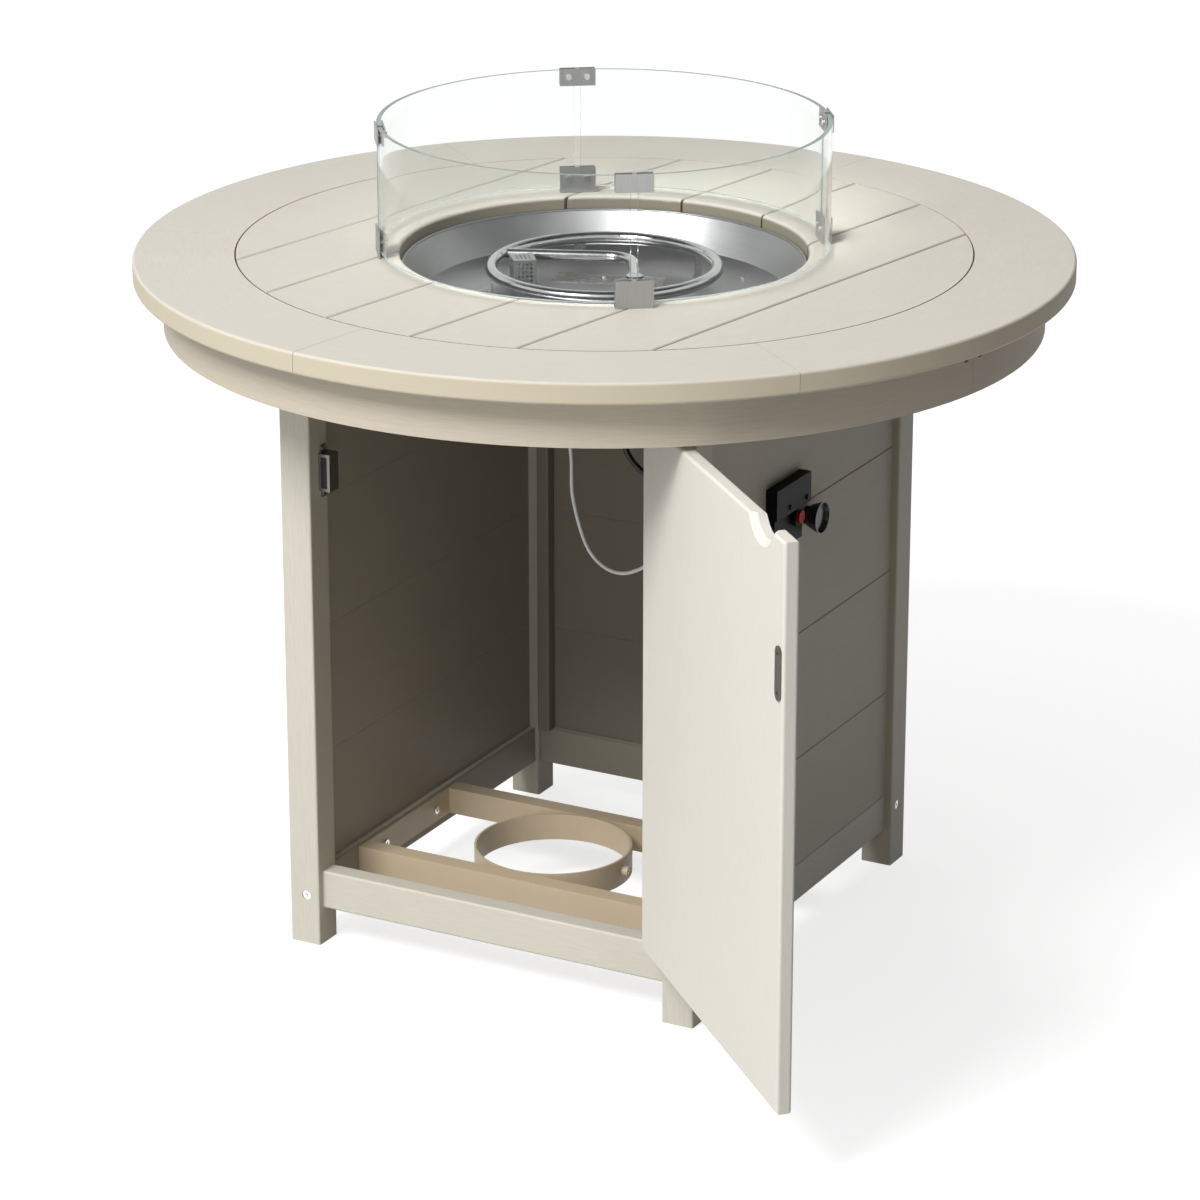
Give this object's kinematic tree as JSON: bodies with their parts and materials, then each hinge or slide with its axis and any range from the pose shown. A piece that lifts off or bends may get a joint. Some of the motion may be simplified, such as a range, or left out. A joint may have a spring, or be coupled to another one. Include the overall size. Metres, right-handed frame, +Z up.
{
  "type": "fire pit table",
  "caption": "Round counter-height fire pit table in pale resin lumber: drop-in gas burner, glass wind guard, and a cabinet with a hinged door and a tank holder.",
  "frame": {"origin": "on the floor, at the middle of the plan box of the table with its door open as shown; the round top is centred 0.3 mm to -X and 42.2 mm to +Y of it", "axes": "+Z up, the door side of the cabinet faces -Y, the controls are on the +X side"},
  "size_m": [1.2197, 1.3038, 1.0849],
  "materials": {
    "pale_lumber": "matte, fine grain along the board",
    "apron_lumber": "matte",
    "cabinet_boards": "matte",
    "door_lumber": "matte, fine grain",
    "tan_steel": "satin powder coat",
    "stainless": "brushed",
    "bright_steel": "polished",
    "black_plastic": "satin black",
    "red_plastic": "gloss",
    "smoke_plastic": "gloss, smoky",
    "brass": "satin",
    "glazed": "glazed",
    "clear_glass": "clear, polished edges",
    "magnet_black": "matte",
    "white_rubber": "satin white sleeve",
    "black_rubber": "satin black",
    "galvanised": "dull zinc"
  },
  "bodies": {
    "table": {"post_front_left": "pale_lumber", "post_front_right": "pale_lumber", "post_rear_left": "pale_lumber", "post_rear_right": "pale_lumber", "rail_front_lower": "pale_lumber", "rail_rear_lower": "pale_lumber", "rail_left_lower": "pale_lumber", "rail_right_lower": "pale_lumber", "rail_front_upper": "pale_lumber", "rail_rear_upper": "pale_lumber", "rail_left_upper": "pale_lumber", "rail_right_upper": "pale_lumber", "boards_left": "cabinet_boards", "boards_right": "cabinet_boards", "boards_rear": "cabinet_boards", "corner_battens": "cabinet_boards", "plank_1": "pale_lumber", "plank_2": "pale_lumber", "plank_3": "pale_lumber", "plank_4": "pale_lumber", "plank_5": "pale_lumber", "plank_6": "pale_lumber", "plank_7": "pale_lumber", "rim_segments": "pale_lumber", "apron_segments": "apron_lumber", "apron_blocks": "apron_lumber", "deck_battens": "apron_lumber", "post_screws": "bright_steel", "apron_screws": "bright_steel", "tank_frame": "tan_steel", "tank_ring": "tan_steel", "tank_set_screw": "bright_steel", "frame_screws": "bright_steel", "post_hinge_leaves": "bright_steel", "hinge_pins": "bright_steel", "catch_bracket": "bright_steel", "catch_magnet": "magnet_black", "burner_pan": "stainless", "pan_support_ring": "galvanised", "burner_ring": "stainless", "feed_tube": "stainless", "gas_inlet": "brass", "burner_legs": "stainless", "igniter_cage": "stainless", "igniter_electrode": "glazed", "pan_cover_plate": "stainless", "pan_bolts": "bright_steel", "control_box": "black_plastic", "control_base": "black_plastic", "gas_valve": "brass", "igniter_wire": "white_rubber", "gas_hose": "black_rubber"},
    "door_leaf": {"door": "door_lumber", "strike_plate": "bright_steel", "door_hinge_leaves": "bright_steel"},
    "wind_guard": {"glass_panels": "clear_glass", "guard_clips": "stainless", "guard_screws": "bright_steel"},
    "knob": {"gas_knob": "smoke_plastic"},
    "button": {"igniter_button": "red_plastic"}
  },
  "joints": [
    {"name": "door_swing", "type": "hinge", "parent": "table", "child": "door_leaf", "pos_m": [0.2527, -0.28659, 0.108], "axis": [0, 0, 1], "range_deg": [-136, 39]},
    {"name": "wind_guard_lift", "type": "slide", "parent": "table", "child": "wind_guard", "axis": [0, 0, 1], "range_m": [0, 0.25]},
    {"name": "gas_knob_turn", "type": "hinge", "parent": "table", "child": "knob", "pos_m": [0.2957, 0.05421, 0.59], "axis": [1, 0, 0], "range_deg": [0, 180]},
    {"name": "igniter_press", "type": "slide", "parent": "table", "child": "button", "axis": [-1, 0, 0], "range_m": [0, 0.003], "stiffness_N_per_m": 900, "springref_m": -0.001}
  ]
}
